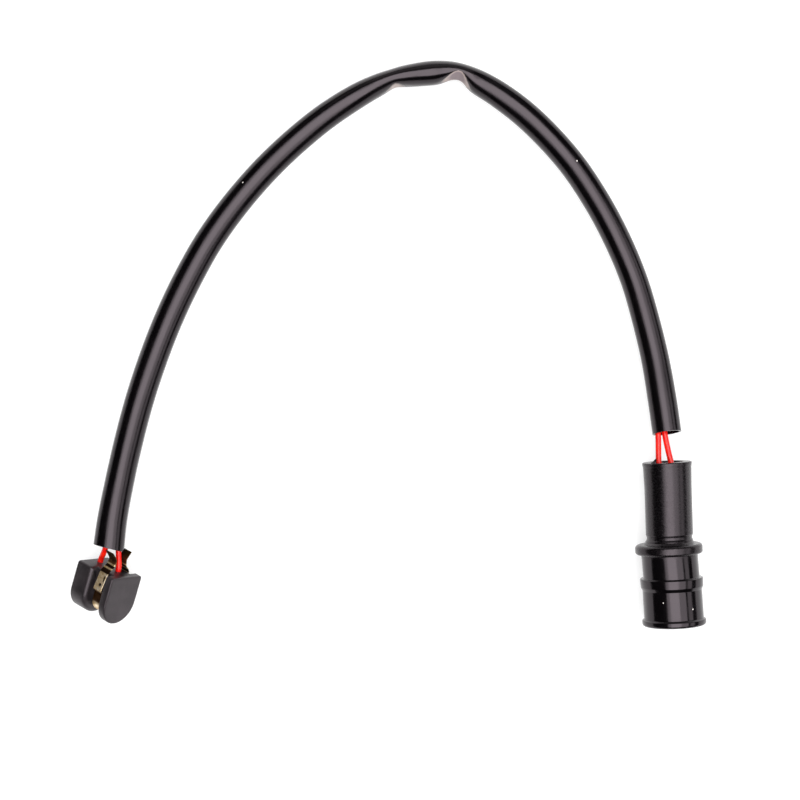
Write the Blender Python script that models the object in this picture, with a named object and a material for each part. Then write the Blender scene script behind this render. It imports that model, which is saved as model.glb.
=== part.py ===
"""A brake pad wear sensor: a moulded head with a spring clip, a two-wire lead in a plastic
sleeve, and a round plug with two contacts.

Metres, +Z up, lying on the plane z = 0. The origin is on that plane, under the middle of the
box that holds the head and the plug. The head is drawn in a frame of its own, with x across
its width, y from the pad side's flange towards the wear block and z up towards the wires.
The plug is drawn standing on its mouth, with z along its axis towards the wires.
"""

import math

import bmesh
import bpy
import numpy as np
from mathutils import Euler, Matrix, Vector

MM = 0.001

# Clearances between pieces
SEAT_GAP = 0.3 * MM
BORE_GAP = 0.2 * MM

# The head
HEAD_WIDTH = 11.1 * MM
HEAD_HEIGHT = 12.8 * MM
BLOCK_THICKNESS = 5.3 * MM
GROOVE_WIDTH = 5.0 * MM
FLANGE_THICKNESS = 2.2 * MM
CORE_WIDTH = 6.8 * MM
HEAD_TOP_CORNER = 0.7 * MM
HEAD_EDGE = 0.3 * MM
# The share of its width that a rounded edge takes off the lowest corner, as the head lies
ROUNDING_LOSS = 0.4
HEAD_AT = (-69.73 * MM, -6.68 * MM)
HEAD_ANGLES = (-69.9, 56.1, -0.4)

# The wires and the loop that joins them inside the head
WIRE_DIAMETER = 1.5 * MM
CONDUCTOR_DIAMETER = 0.7 * MM
WIRE_A_IN_HEAD = (0.3 * MM, 5.6 * MM)
WIRE_B_IN_HEAD = (0.7 * MM, -0.5 * MM)
WIRE_DEPTH_IN_HEAD = 6.0 * MM
# Each wire runs straight from this depth to this height above the head's top
WIRE_RISE = 0.8 * MM
CHANNEL_RISE = 2.0 * MM
# How far each wire leans sideways at the plug's rim, off the line of its hole
WIRE_A_AT_RIM = -0.8 * MM
WIRE_B_AT_RIM = -0.3 * MM
LOOP_TOP = -6.4 * MM
LOOP_STEP = 0.9 * MM
LOOP_ROUTE = (
    (0.3 * MM, 6.1 * MM, -7.6 * MM),
    (0.4 * MM, 5.4 * MM, -8.9 * MM),
    (0.5 * MM, 2.9 * MM, -9.3 * MM),
    (0.6 * MM, 0.6 * MM, -8.8 * MM),
    (0.7 * MM, -0.5 * MM, -7.6 * MM),
)

# The spring clip, as a strip that runs round the core
CLIP_THICKNESS = 0.3 * MM
CLIP_WIDTH = 2.7 * MM
CLIP_SHIFT = -0.15 * MM
CLIP_BOW = 0.85 * MM
CLIP_BOW_HEIGHT = 2.5 * MM
# Each leaf from its tip down to the side leg: the corners' x and z, and their fillets
CLIP_LEFT_LEAF = (
    (-4.0 * MM, 5.4 * MM, 0),
    (-1.7 * MM, 3.2 * MM, 1.3 * MM),
    (-2.3 * MM, 1.5 * MM, 0.4 * MM),
    (-3.1 * MM, 0.85 * MM, 0.2 * MM),
)
CLIP_RIGHT_LEAF = (
    (2.7 * MM, 5.5 * MM, 0),
    (1.6 * MM, 3.4 * MM, 1.3 * MM),
    (2.2 * MM, 1.5 * MM, 0.4 * MM),
    (3.1 * MM, 0.85 * MM, 0.2 * MM),
)
CLIP_HOLE_DIAMETER = 0.9 * MM
CLIP_HOLE_AT = (-0.4 * MM, -3.4 * MM)
CLIP_SLOT_AT = (-0.95 * MM, -1.7 * MM)
CLIP_SLOT_LENGTH = 1.5 * MM
CLIP_SLOT_WIDTH = 0.5 * MM

# The sleeve and the route of the lead
SLEEVE_WALL = 0.5 * MM
LEAD_STEP = 5.2 * MM
WIRE_STEP = 4.6 * MM
WIRE_END_STEP = 1.8 * MM
WIRE_END_REACH = 18.0 * MM

# Each row is a point of the sleeve's centre line and the sleeve's radius there, then how far
# wire A and wire B lie to the right of the centre line, all in millimetres.
LEAD_ROUTE = (
    (-71.2, -0.9, 10.3, 3.95, -0.8, 2.5),
    (-70.4, 6.1, 9.9, 3.8, -0.2, 2.1),
    (-68.7, 16.2, 8.2, 3.7, 0.3, 2.0),
    (-66.7, 26.4, 6.0, 3.7, 0.3, 2.0),
    (-64.2, 36.7, 4.3, 3.7, 0.3, 2.0),
    (-60.9, 47.0, 3.75, 3.7, 0.3, 2.0),
    (-56.9, 57.3, 3.75, 3.7, 0.3, 2.0),
    (-52.0, 67.7, 3.75, 3.7, 0.2, 1.9),
    (-46.2, 78.0, 3.7, 3.65, 0.2, 1.9),
    (-38.7, 88.3, 3.65, 3.6, 0.1, 1.8),
    (-29.4, 98.6, 3.6, 3.55, 0.0, 1.7),
    (-17.7, 108.8, 3.55, 3.45, -0.4, 1.4),
    (-7.8, 115.3, 3.5, 3.2, -0.9, 0.9),
    (-2.2, 118.1, 3.5, 2.8, -0.9, 0.9),
    (0.9, 119.3, 3.5, 2.6, -0.9, 0.9),
    (4.3, 120.1, 3.5, 2.8, -0.9, 0.9),
    (11.3, 121.0, 3.5, 3.1, -0.9, 0.9),
    (16.4, 121.2, 3.5, 2.65, -0.9, 0.9),
    (19.3, 120.6, 3.5, 2.55, -0.9, 0.9),
    (22.6, 118.9, 3.5, 3.1, -0.9, 0.9),
    (28.8, 115.2, 3.5, 3.4, -0.6, 1.2),
    (36.6, 109.1, 3.55, 3.5, -0.2, 1.6),
    (46.4, 98.7, 3.55, 3.5, 0.0, 1.8),
    (53.5, 88.3, 3.55, 3.5, 0.1, 1.9),
    (59.0, 78.0, 3.55, 3.5, 0.1, 1.9),
    (63.3, 67.7, 3.55, 3.5, 0.1, 1.9),
    (66.3, 57.3, 3.95, 3.55, 0.2, 1.9),
    (68.6, 47.0, 5.0, 3.6, 0.2, 1.9),
    (70.1, 36.7, 6.9, 3.7, 0.4, 2.1),
    (71.1, 28.3, 8.4, 3.7, 0.6, 2.3),
)

# The plug, with heights measured from its mouth
PLUG_LENGTH = 41.75 * MM
PLUG_AT = (73.1 * MM, -20.75 * MM)
PLUG_TURN = 2.9
REAR_RADIUS = 6.14 * MM
REAR_TAPER = 0.15 * MM
RIM_RADIUS = 6.32 * MM
NECK_RADIUS = 5.75 * MM
NECK_HEIGHT = 22.45 * MM
STOP_RADIUS = 8.56 * MM
STOP_HEIGHT = 18.3 * MM
STOP_THICKNESS = 2.55 * MM
WAIST_RADIUS = 7.17 * MM
BAND_RADIUS = 8.05 * MM
BAND_HEIGHT = 9.1 * MM
BAND_LENGTH = 3.1 * MM
SKIRT_RADIUS = 7.55 * MM
LIP_RADIUS = 8.15 * MM
LIP_LENGTH = 1.5 * MM
MOUTH_RADIUS = 5.9 * MM
MOUTH_DEPTH = 16.0 * MM
CARRIER_BORE_RADIUS = 4.6 * MM
CARRIER_BORE_TOP = 30.0 * MM
REAR_BORE_RADIUS = 4.1 * MM

# The outside of the plug from its rim down to its lip: radius, height and fillet of each corner
PLUG_OUTSIDE = (
    (RIM_RADIUS, PLUG_LENGTH, 0.25 * MM),
    (RIM_RADIUS - 0.05 * MM, PLUG_LENGTH - 0.7 * MM, 0.3 * MM),
    (REAR_RADIUS, PLUG_LENGTH - 1.3 * MM, 0.5 * MM),
    (REAR_RADIUS - REAR_TAPER, PLUG_LENGTH - 7.0 * MM, 0),
    (REAR_RADIUS - REAR_TAPER, NECK_HEIGHT + 0.85 * MM, 0.2 * MM),
    (NECK_RADIUS, NECK_HEIGHT + 0.3 * MM, 0),
    (NECK_RADIUS, NECK_HEIGHT - 0.3 * MM, 0),
    (REAR_RADIUS - REAR_TAPER, NECK_HEIGHT - 0.7 * MM, 0.1 * MM),
    (REAR_RADIUS, NECK_HEIGHT - 1.1 * MM, 0),
    (REAR_RADIUS + 0.2 * MM, NECK_HEIGHT - 1.3 * MM, 0.1 * MM),
    (REAR_RADIUS + 0.45 * MM, STOP_HEIGHT + STOP_THICKNESS, 0.1 * MM),
    (STOP_RADIUS, STOP_HEIGHT + STOP_THICKNESS, 0.8 * MM),
    (STOP_RADIUS, STOP_HEIGHT, 0.5 * MM),
    (WAIST_RADIUS, STOP_HEIGHT, 0.1 * MM),
    (WAIST_RADIUS, BAND_HEIGHT + BAND_LENGTH, 0.1 * MM),
    (BAND_RADIUS, BAND_HEIGHT + BAND_LENGTH, 0.2 * MM),
    (BAND_RADIUS - 0.1 * MM, BAND_HEIGHT + 0.9 * MM, 0.2 * MM),
    (SKIRT_RADIUS, BAND_HEIGHT, 0.1 * MM),
    (SKIRT_RADIUS + 0.05 * MM, LIP_LENGTH + 0.3 * MM, 0.3 * MM),
    (LIP_RADIUS, LIP_LENGTH, 0.2 * MM),
    (LIP_RADIUS, 0, 0.6 * MM),
)

# What the plug holds
GROMMET_TOP = PLUG_LENGTH - 3.3 * MM
GROMMET_RIB = 0.25 * MM
CARRIER_FLANGE = 1.5 * MM
CARRIER_NOSE = 12.5 * MM
CARRIER_NOSE_RADIUS = 4.3 * MM
KEY_WIDTH = 1.4 * MM
KEY_PROUD = 0.9 * MM
CONTACT_PITCH = 3.6 * MM
PIN_RADIUS = 0.8 * MM
PIN_TIP = 6.0 * MM
COLLAR_RADIUS = 1.15 * MM
COLLAR_BASE = 14.3 * MM
COLLAR_LENGTH = 1.2 * MM
CRIMP_BASE = 20.5 * MM
CRIMP_RADIUS = 0.95 * MM
CRIMP_TOP = 24.8 * MM
SUPPORT_TOP = 28.0 * MM
WIRE_END_IN_PLUG = 25.2 * MM
# The wires are straight from here to the grommet's top
WIRE_STRAIGHT = 2.0 * MM


def clear_scene():
    for thing in list(bpy.data.objects):
        bpy.data.objects.remove(thing, do_unlink=True)


def material(name, colour, roughness, metallic=0.0):
    made = bpy.data.materials.new(name)
    made.use_nodes = True
    shader = made.node_tree.nodes["Principled BSDF"]
    shader.inputs["Base Color"].default_value = (*colour, 1.0)
    shader.inputs["Roughness"].default_value = roughness
    shader.inputs["Metallic"].default_value = metallic
    return made


def frame(name, place):
    """An empty that carries the pieces of one end."""
    made = bpy.data.objects.new(name, None)
    made.matrix_world = place
    bpy.context.collection.objects.link(made)
    return made


def piece(name, mesh, finish=None, parent=None, smooth=True):
    made = bpy.data.objects.new(name, mesh)
    bpy.context.collection.objects.link(made)
    if finish:
        mesh.materials.append(finish)
    if parent:
        made.parent = parent
    if smooth:
        mesh.shade_smooth()
        mesh.set_sharp_from_angle(angle=math.radians(35))
    return made


def hide_cutter(tool):
    tool.hide_render = True
    tool.display_type = "WIRE"


def cut(target, tool, operation="DIFFERENCE"):
    step = target.modifiers.new(tool.name, "BOOLEAN")
    step.object = tool
    step.operation = operation
    step.solver = "EXACT"
    hide_cutter(tool)


def round_edges(target, width, segments=2, degrees=40):
    step = target.modifiers.new("rounded edges", "BEVEL")
    step.width = width
    step.segments = segments
    step.limit_method = "ANGLE"
    step.angle_limit = math.radians(degrees)


def rounded(corners, closed, steps=2):
    """The outline through (x, y, radius) corners, with an arc at each corner that has a radius."""
    points = []
    count = len(corners)
    for i, (x, y, radius) in enumerate(corners):
        here = Vector((x, y))
        if radius == 0 or (not closed and i in (0, count - 1)):
            points.append(here)
            continue
        to_last = Vector(corners[i - 1][:2]) - here
        to_next = Vector(corners[(i + 1) % count][:2]) - here
        half = to_last.angle(to_next) / 2
        reach = min(radius / math.tan(half), 0.49 * min(to_last.length, to_next.length))
        radius = reach * math.tan(half)
        inward = (to_last.normalized() + to_next.normalized()).normalized()
        middle = here + inward * (radius / math.sin(half))
        start = here + to_last.normalized() * reach - middle
        end = here + to_next.normalized() * reach - middle
        sweep = start.angle_signed(end)
        for k in range(steps + 1):
            turn = Matrix.Rotation(-sweep * k / steps, 2)
            points.append(middle + turn @ start)
    return points


def turned(name, corners, sides, finish, parent, closed=True):
    """A solid of (radius, height, fillet) corners, outer side first and downwards, turned round z."""
    outline = rounded(corners, closed)
    mesh = bpy.data.meshes.new(name)
    verts = [(p.x, 0.0, p.y) for p in outline]
    edges = [(i, i + 1) for i in range(len(verts) - 1)]
    if closed:
        edges.append((len(verts) - 1, 0))
    mesh.from_pydata(verts, edges, [])
    made = piece(name, mesh, finish, parent, smooth=False)
    spin = made.modifiers.new("turned", "SCREW")
    spin.axis = "Z"
    spin.steps = sides
    spin.render_steps = sides
    spin.use_merge_vertices = True
    spin.merge_threshold = 0.000005
    spin.use_smooth_shade = True
    return made


def prism(name, outline, low, high, finish=None, parent=None):
    """A closed solid: the outline in x and z, carried along y from low to high."""
    shape = bmesh.new()
    face = shape.faces.new([shape.verts.new((p[0], low, p[1])) for p in outline])
    grown = bmesh.ops.extrude_face_region(shape, geom=[face])
    moved = [v for v in grown["geom"] if isinstance(v, bmesh.types.BMVert)]
    bmesh.ops.translate(shape, vec=(0, high - low, 0), verts=moved)
    bmesh.ops.recalc_face_normals(shape, faces=shape.faces)
    mesh = bpy.data.meshes.new(name)
    shape.to_mesh(mesh)
    shape.free()
    return piece(name, mesh, finish, parent, smooth=False)


def cylinder(name, radius, low, high, at=(0.0, 0.0), sides=20, parent=None):
    """A plain upright cylinder, for cutting."""
    shape = bmesh.new()
    bmesh.ops.create_cone(
        shape,
        cap_ends=True,
        segments=sides,
        radius1=radius,
        radius2=radius,
        depth=high - low,
        matrix=Matrix.Translation((at[0], at[1], (low + high) / 2)),
    )
    mesh = bpy.data.meshes.new(name)
    shape.to_mesh(mesh)
    shape.free()
    return piece(name, mesh, parent=parent, smooth=False)


def smooth_line(points, step, end_step=None, end_reach=0.0):
    """Points on a smooth curve through the rows of points (Catmull-Rom by distance).

    They lie a step apart, or an end_step apart within end_reach of either end.
    """
    rows = np.asarray(points, dtype=float)
    rows = np.vstack([2 * rows[0] - rows[1], rows, 2 * rows[-1] - rows[-2]])
    gaps = np.linalg.norm(np.diff(rows[:, :3], axis=0), axis=1) ** 0.5
    knots = np.concatenate([[0], np.cumsum(gaps)])
    line = []
    for i in range(1, len(rows) - 2):
        t0, t1, t2, t3 = knots[i - 1 : i + 3]
        p0, p1, p2, p3 = rows[i - 1 : i + 3]
        t = np.linspace(t1, t2, 17)[:-1, None]
        a1 = (t1 - t) / (t1 - t0) * p0 + (t - t0) / (t1 - t0) * p1
        a2 = (t2 - t) / (t2 - t1) * p1 + (t - t1) / (t2 - t1) * p2
        a3 = (t3 - t) / (t3 - t2) * p2 + (t - t2) / (t3 - t2) * p3
        b1 = (t2 - t) / (t2 - t0) * a1 + (t - t0) / (t2 - t0) * a2
        b2 = (t3 - t) / (t3 - t1) * a2 + (t - t1) / (t3 - t1) * a3
        line.append((t2 - t) / (t2 - t1) * b1 + (t - t1) / (t2 - t1) * b2)
    line = np.vstack(line + [rows[-2:-1]])
    along = np.concatenate([[0], np.cumsum(np.linalg.norm(np.diff(line[:, :3], axis=0), axis=1))])
    marks = [0, end_reach, along[-1] - end_reach, along[-1]] if end_step else [0, along[-1]]
    steps = [end_step, step, end_step] if end_step else [step]
    stretches = [
        np.linspace(start, end, int(round((end - start) / size)) + 1)[:-1]
        for start, end, size in zip(marks, marks[1:], steps)
    ]
    at = np.append(np.concatenate(stretches), along[-1])
    return np.stack([np.interp(at, along, column) for column in line.T], axis=1)


def tube(name, points, radii, resolution, caps, finish=None, parent=None):
    """A curve object that is a round tube through the points."""
    data = bpy.data.curves.new(name, "CURVE")
    data.dimensions = "3D"
    data.bevel_depth = 1.0
    data.bevel_resolution = resolution
    data.use_fill_caps = caps
    spline = data.splines.new("POLY")
    spline.points.add(len(points) - 1)
    for slot, point, radius in zip(spline.points, points, radii):
        slot.co = (*point, 1.0)
        slot.radius = radius
    spline.use_smooth = True
    if finish:
        data.materials.append(finish)
    made = bpy.data.objects.new(name, data)
    bpy.context.collection.objects.link(made)
    if parent:
        made.parent = parent
    return made


def tube_cutter(name, points, radii, parent):
    """The same tube as a mesh, for cutting a channel."""
    pattern = tube(name + " pattern", points, radii, 3, True)
    bpy.context.view_layer.update()
    seen = pattern.evaluated_get(bpy.context.evaluated_depsgraph_get())
    mesh = bpy.data.meshes.new_from_object(seen)
    bpy.data.objects.remove(pattern, do_unlink=True)
    return piece(name, mesh, parent=parent, smooth=False)


def half_round(radius, middle, steps):
    """The points of a half circle below the height of its middle, from the right to the left."""
    angles = [math.pi * k / steps for k in range(1, steps)]
    return [Vector((radius * math.cos(a), middle - radius * math.sin(a))) for a in angles]


def head_outline():
    """A flat top with rounded corners and a half-round lower end."""
    half = HEAD_WIDTH / 2
    middle = half - HEAD_HEIGHT
    corner = HEAD_TOP_CORNER
    corners = [(-half, middle, 0), (-half, 0, corner), (half, 0, corner), (half, middle, 0)]
    return rounded(corners, closed=False) + half_round(half, middle, 22)


def head_matrix():
    """The head's frame, so high that its lowest edge touches the plane z = 0."""
    turn = Euler([math.radians(a) for a in HEAD_ANGLES]).to_matrix()
    sides = (-GROOVE_WIDTH / 2 - FLANGE_THICKNESS, GROOVE_WIDTH / 2 + BLOCK_THICKNESS)
    reach = [(turn @ Vector((p.x, y, p.y))).z for p in head_outline() for y in sides]
    height = -min(reach) - ROUNDING_LOSS * HEAD_EDGE
    return Matrix.Translation((*HEAD_AT, height)) @ turn.to_4x4()


def in_head(x, y, z):
    """A point of the head's frame in world coordinates."""
    return head_matrix() @ Vector((x, y, z))


def make_sensor_body(head, finish):
    """One moulding: wear block, core and thin flange, with a channel for the two wires."""
    groove = GROOVE_WIDTH / 2
    body = prism(
        "sensor_body",
        head_outline(),
        -groove - FLANGE_THICKNESS,
        groove + BLOCK_THICKNESS,
        finish,
        head,
    )
    out = HEAD_WIDTH
    below = -2 * HEAD_HEIGHT
    above = 2 * HEAD_HEIGHT
    around = [(-out, HEAD_HEIGHT), (out, HEAD_HEIGHT), (out, below), (-out, below)]
    ring = prism("groove ring", around, -groove, groove, parent=head)
    half = CORE_WIDTH / 2
    middle = HEAD_WIDTH / 2 - HEAD_HEIGHT
    core = [(-half, middle), (-half, above), (half, above), (half, middle)]
    core += half_round(half, middle, 16)
    keep = prism("core form", core, -GROOVE_WIDTH, GROOVE_WIDTH, parent=head)
    cut(ring, keep)
    cut(body, ring)
    round_edges(body, HEAD_EDGE)
    channel = head_channel(head)
    cut(body, channel)
    return body


def loop_points():
    return [(*WIRE_A_IN_HEAD, LOOP_TOP), *LOOP_ROUTE, (*WIRE_B_IN_HEAD, LOOP_TOP)]


def head_channel(head):
    """Two bores for the wires, joined below by a narrower bend for the bare loop."""
    wide = WIRE_DIAMETER / 2 + BORE_GAP
    narrow = CONDUCTOR_DIAMETER / 2 + BORE_GAP
    bend = smooth_line(loop_points(), LOOP_STEP)
    foot = -WIRE_DEPTH_IN_HEAD - BORE_GAP
    step = foot - 0.05 * MM
    points = [
        (*WIRE_A_IN_HEAD, CHANNEL_RISE),
        (*WIRE_A_IN_HEAD, foot),
        (*WIRE_A_IN_HEAD, step),
        *bend[1:-1],
        (*WIRE_B_IN_HEAD, step),
        (*WIRE_B_IN_HEAD, foot),
        (*WIRE_B_IN_HEAD, CHANNEL_RISE),
    ]
    radii = [wide, wide, *[narrow] * len(bend), wide, wide]
    return tube_cutter("wire channel", points, radii, head)


def make_wear_loop(head, finish):
    bend = smooth_line(loop_points(), LOOP_STEP)
    return tube("wear_loop", bend, [CONDUCTOR_DIAMETER / 2] * len(bend), 2, True, finish, head)


def clip_line():
    """The strip's middle line in the head's x and z, from the left leaf's tip to the right's."""
    side = CORE_WIDTH / 2 + SEAT_GAP + CLIP_THICKNESS / 2
    middle = HEAD_WIDTH / 2 - HEAD_HEIGHT
    bow = middle + CLIP_BOW_HEIGHT
    left_leg = [
        (-side, -0.05 * MM, 0.2 * MM),
        (-side - CLIP_BOW, bow, 0.3 * MM),
        (-side, bow - 0.9 * MM, 0.3 * MM),
        (-side, middle, 0),
    ]
    right_leg = [(-x, z, r) for x, z, r in reversed(left_leg)]
    below = [(p.x, p.y, 0) for p in reversed(half_round(side, middle, 12))]
    corners = [*CLIP_LEFT_LEAF, *left_leg, *below, *right_leg, *reversed(CLIP_RIGHT_LEAF)]
    return rounded(corners, closed=False, steps=3)


def make_spring_clip(head, finish):
    """A strip folded round the core, with a hole and a slot punched in its left leg."""
    line = clip_line()
    edge = CLIP_WIDTH / 2
    verts = [(p.x, CLIP_SHIFT + y, p.y) for p in line for y in (-edge, edge)]
    faces = [(2 * i, 2 * i + 1, 2 * i + 3, 2 * i + 2) for i in range(len(line) - 1)]
    mesh = bpy.data.meshes.new("spring_clip")
    mesh.from_pydata(verts, [], faces)
    clip = piece("spring_clip", mesh, finish, head, smooth=False)
    thick = clip.modifiers.new("sheet", "SOLIDIFY")
    thick.thickness = CLIP_THICKNESS
    thick.offset = 0.0
    thick.use_even_offset = True
    leg = -CORE_WIDTH / 2 - SEAT_GAP
    through = 1.5 * MM
    hole = cylinder("clip hole", CLIP_HOLE_DIAMETER / 2, -through, through, sides=14, parent=head)
    hole.rotation_euler = (0, math.radians(90), 0)
    hole.location = (leg, *CLIP_HOLE_AT)
    cut(clip, hole)
    across, height = CLIP_SLOT_AT
    low = height - CLIP_SLOT_LENGTH / 2
    high = height + CLIP_SLOT_LENGTH / 2
    window = [(leg - through, low), (leg - through, high), (leg + through, high), (leg + through, low)]
    near = across - CLIP_SLOT_WIDTH / 2
    slot = prism("clip slot", window, near, near + CLIP_SLOT_WIDTH, parent=head)
    cut(clip, slot)
    return clip


def plug_lean():
    """The lean at which the plug touches the plane with both its stop flange and its lip."""
    return math.atan2(STOP_RADIUS - LIP_RADIUS, STOP_HEIGHT)


def plug_matrix():
    lean = plug_lean()
    turn = Euler((lean - math.radians(90), 0, math.radians(PLUG_TURN)))
    at = Vector((*PLUG_AT, LIP_RADIUS * math.cos(lean)))
    return Matrix.Translation(at) @ turn.to_matrix().to_4x4()


def in_plug(x, y, z):
    """A point of the plug's frame in world coordinates."""
    return plug_matrix() @ Vector((x, y, z))


def make_plug_housing(plug, finish):
    """One rubber moulding, turned: its outside runs down from the rim to the lip."""
    corners = [
        (REAR_BORE_RADIUS, PLUG_LENGTH, 0.3 * MM),
        *PLUG_OUTSIDE,
        (MOUTH_RADIUS + 0.4 * MM, 0, 0),
        (MOUTH_RADIUS, 0.7 * MM, 0),
        (MOUTH_RADIUS, MOUTH_DEPTH, 0),
        (CARRIER_BORE_RADIUS, MOUTH_DEPTH, 0),
        (CARRIER_BORE_RADIUS, CARRIER_BORE_TOP, 0),
        (REAR_BORE_RADIUS, CARRIER_BORE_TOP, 0),
    ]
    return turned("plug_housing", corners, 36, finish, plug)


def make_wire_grommet(plug, finish):
    """A rubber plug with two ribs, and a hole for each wire."""
    outer = REAR_BORE_RADIUS - SEAT_GAP
    root = outer - GROMMET_RIB
    base = CARRIER_BORE_TOP + SEAT_GAP
    length = GROMMET_TOP - base
    corners = [
        (0, GROMMET_TOP, 0),
        (root, GROMMET_TOP, 0.3 * MM),
        (root, base + 0.8 * length, 0),
        (outer, base + 0.7 * length, 0.2 * MM),
        (root, base + 0.6 * length, 0),
        (root, base + 0.4 * length, 0),
        (outer, base + 0.3 * length, 0.2 * MM),
        (root, base + 0.2 * length, 0),
        (root, base, 0.2 * MM),
        (0, base, 0),
    ]
    grommet = turned("wire_grommet", corners, 20, finish, plug, closed=False)
    for side in (-1, 1):
        at = (side * CONTACT_PITCH / 2, 0)
        bore = WIRE_DIAMETER / 2 + BORE_GAP
        hole = cylinder("grommet hole", bore, base - MM, GROMMET_TOP + MM, at, 16, plug)
        cut(grommet, hole)
    return grommet


def make_contact_carrier(plug, finish):
    """The hard insulator: nose, seating flange and barrel, two stepped holes and a key rib."""
    flange = MOUTH_DEPTH - SEAT_GAP
    barrel = CARRIER_BORE_RADIUS - SEAT_GAP
    top = CARRIER_BORE_TOP - SEAT_GAP
    corners = [
        (0, top, 0),
        (barrel, top, 0.3 * MM),
        (barrel, flange, 0),
        (MOUTH_RADIUS - SEAT_GAP, flange, 0.1 * MM),
        (MOUTH_RADIUS - SEAT_GAP, flange - CARRIER_FLANGE, 0.1 * MM),
        (CARRIER_NOSE_RADIUS, flange - CARRIER_FLANGE, 0),
        (CARRIER_NOSE_RADIUS, CARRIER_NOSE, 0.4 * MM),
        (0, CARRIER_NOSE, 0),
    ]
    carrier = turned("contact_carrier", corners, 24, finish, plug, closed=False)
    half = KEY_WIDTH / 2
    root = flange - CARRIER_FLANGE / 3
    outline = [(-half, CARRIER_NOSE), (half, CARRIER_NOSE), (half, root), (-half, root)]
    crest = -CARRIER_NOSE_RADIUS - KEY_PROUD
    key = prism("key rib", outline, crest, -CARRIER_NOSE_RADIUS + MM, parent=plug)
    cut(carrier, key, "UNION")
    for side in (-1, 1):
        at = (side * CONTACT_PITCH / 2, 0)
        narrow = PIN_RADIUS + BORE_GAP
        wide = COLLAR_RADIUS + BORE_GAP
        cut(carrier, cylinder("pin hole", narrow, CARRIER_NOSE - MM, top, at, 18, plug))
        cut(carrier, cylinder("contact hole", wide, COLLAR_BASE - BORE_GAP, top + MM, at, 18, plug))
    return carrier


def make_contact_pin(name, side, plug, finish):
    """A turned brass pin: round nose, collar, and two open barrels crimped round the wire."""
    bore = CONDUCTOR_DIAMETER / 2 + BORE_GAP
    grip = WIRE_DIAMETER / 2 + BORE_GAP
    corners = [
        (grip, SUPPORT_TOP, 0),
        (COLLAR_RADIUS, SUPPORT_TOP, 0),
        (COLLAR_RADIUS, CRIMP_TOP + 0.4 * MM, 0),
        (CRIMP_RADIUS, CRIMP_TOP, 0),
        (CRIMP_RADIUS, CRIMP_BASE - 0.5 * MM, 0),
        (PIN_RADIUS, CRIMP_BASE - MM, 0),
        (PIN_RADIUS, COLLAR_BASE + COLLAR_LENGTH, 0),
        (COLLAR_RADIUS, COLLAR_BASE + COLLAR_LENGTH, 0.1 * MM),
        (COLLAR_RADIUS, COLLAR_BASE, 0.1 * MM),
        (PIN_RADIUS, COLLAR_BASE, 0),
        (PIN_RADIUS, PIN_TIP, 0.6 * MM),
        (0, PIN_TIP, 0),
    ]
    inside = [
        (0, CRIMP_BASE, 0),
        (bore, CRIMP_BASE, 0),
        (bore, CRIMP_TOP, 0),
        (grip, CRIMP_TOP + 0.3 * MM, 0),
    ]
    pin = turned(name, inside + corners, 12, finish, plug, closed=False)
    pin.location = (side * CONTACT_PITCH / 2, 0, 0)
    return pin


def make_conductor_end(name, side, plug, finish):
    """The stripped end of one wire's conductor, in the crimp barrel."""
    x = side * CONTACT_PITCH / 2
    ends = [(x, 0, WIRE_END_IN_PLUG - SEAT_GAP), (x, 0, CRIMP_BASE + SEAT_GAP)]
    return tube(name, ends, [CONDUCTOR_DIAMETER / 2] * 2, 2, True, finish, plug)


def lead_line():
    """The sleeve's centre line and radius, then the sideways places of the two wires, in metres."""
    return np.array(LEAD_ROUTE) * MM


def beside(line, shift):
    """Points that lie to the right of the line, seen from above, by each row's shift."""
    ahead = np.gradient(line[:, :2], axis=0)
    ahead /= np.linalg.norm(ahead, axis=1)[:, None]
    moved = line[:, :3].copy()
    moved[:, 0] += ahead[:, 1] * shift
    moved[:, 1] -= ahead[:, 0] * shift
    return moved


def wire_route(head_at, column, plug_side, rim_shift):
    """One wire: straight out of the head, through the sleeve, and straight into the plug."""
    line = lead_line()
    in_sleeve = beside(line, line[:, column])
    depths = np.linspace(-WIRE_DEPTH_IN_HEAD, 0, 4)
    from_head = [in_head(*head_at, depth) for depth in (*depths, WIRE_RISE)]
    x = plug_side * CONTACT_PITCH / 2
    at_rim = in_plug(x + rim_shift, 0, PLUG_LENGTH)
    heights = (GROMMET_TOP, GROMMET_TOP - WIRE_STRAIGHT, CARRIER_BORE_TOP, WIRE_END_IN_PLUG)
    into_plug = [in_plug(x, 0, z) for z in heights]
    return np.array([*from_head, *in_sleeve, at_rim, *into_plug])


def make_wire(name, route, finish):
    line = smooth_line(route, WIRE_STEP, WIRE_END_STEP, WIRE_END_REACH)
    return tube(name, line, [WIRE_DIAMETER / 2] * len(line), 2, True, finish)


def make_sleeve(finish):
    """A plastic tube, open at both ends, thinner at the two kinks of its bend."""
    line = smooth_line(lead_line()[:, :4], LEAD_STEP)
    sleeve = tube("protective_sleeve", line[:, :3], line[:, 3], 4, False, finish)
    wall = sleeve.modifiers.new("wall", "SOLIDIFY")
    wall.thickness = SLEEVE_WALL
    wall.offset = -1.0
    wall.use_rim = True
    return sleeve


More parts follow.
